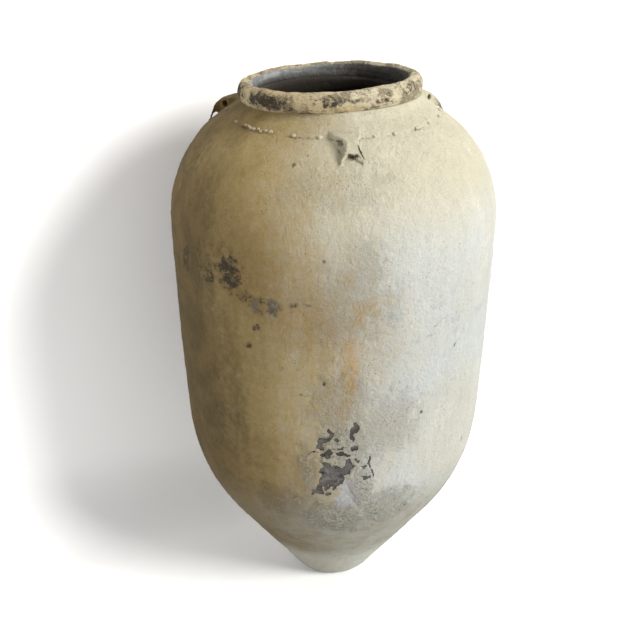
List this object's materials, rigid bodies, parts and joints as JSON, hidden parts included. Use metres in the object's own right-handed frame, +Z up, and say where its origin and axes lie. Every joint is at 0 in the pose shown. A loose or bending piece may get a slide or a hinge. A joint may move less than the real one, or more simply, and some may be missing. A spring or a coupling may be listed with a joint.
{
  "type": "storage jar",
  "caption": "Tall pointed-foot storage jar of coarse fired clay with a rolled rim, a line of pellets round the neck and small pierced lugs for tying a cover.",
  "frame": {"origin": "centre of the flat under the foot, on the jar's axis", "axes": "+Z up along the jar's axis, -Y towards the front, +X to the right seen from the front"},
  "size_m": [0.5, 0.5, 0.8379],
  "materials": {
    "body_clay": "matt, gritty, weathered fired clay",
    "foot_clay": "matt, dark grey-green weathered clay",
    "neck_clay": "matt, gritty, weathered fired clay",
    "rim_clay": "matt, worn and mottled with lichen and lime",
    "lug_clay": "matt, hand-smoothed clay",
    "pellet_clay": "matt, hand-smoothed clay"
  },
  "bodies": {
    "root": {"base_pad": "foot_clay", "foot_ring": "foot_clay", "cone_ring": "body_clay", "turn_ring": "body_clay", "lower_side_ring": "body_clay", "middle_side_ring": "body_clay", "upper_side_ring": "body_clay", "shoulder_ring": "body_clay", "neck_collar": "neck_clay", "rim_roll": "rim_clay", "lug_front": "lug_clay", "lug_right": "lug_clay", "lug_left": "lug_clay", "seam_pellets": "pellet_clay"}
  },
  "joints": []
}
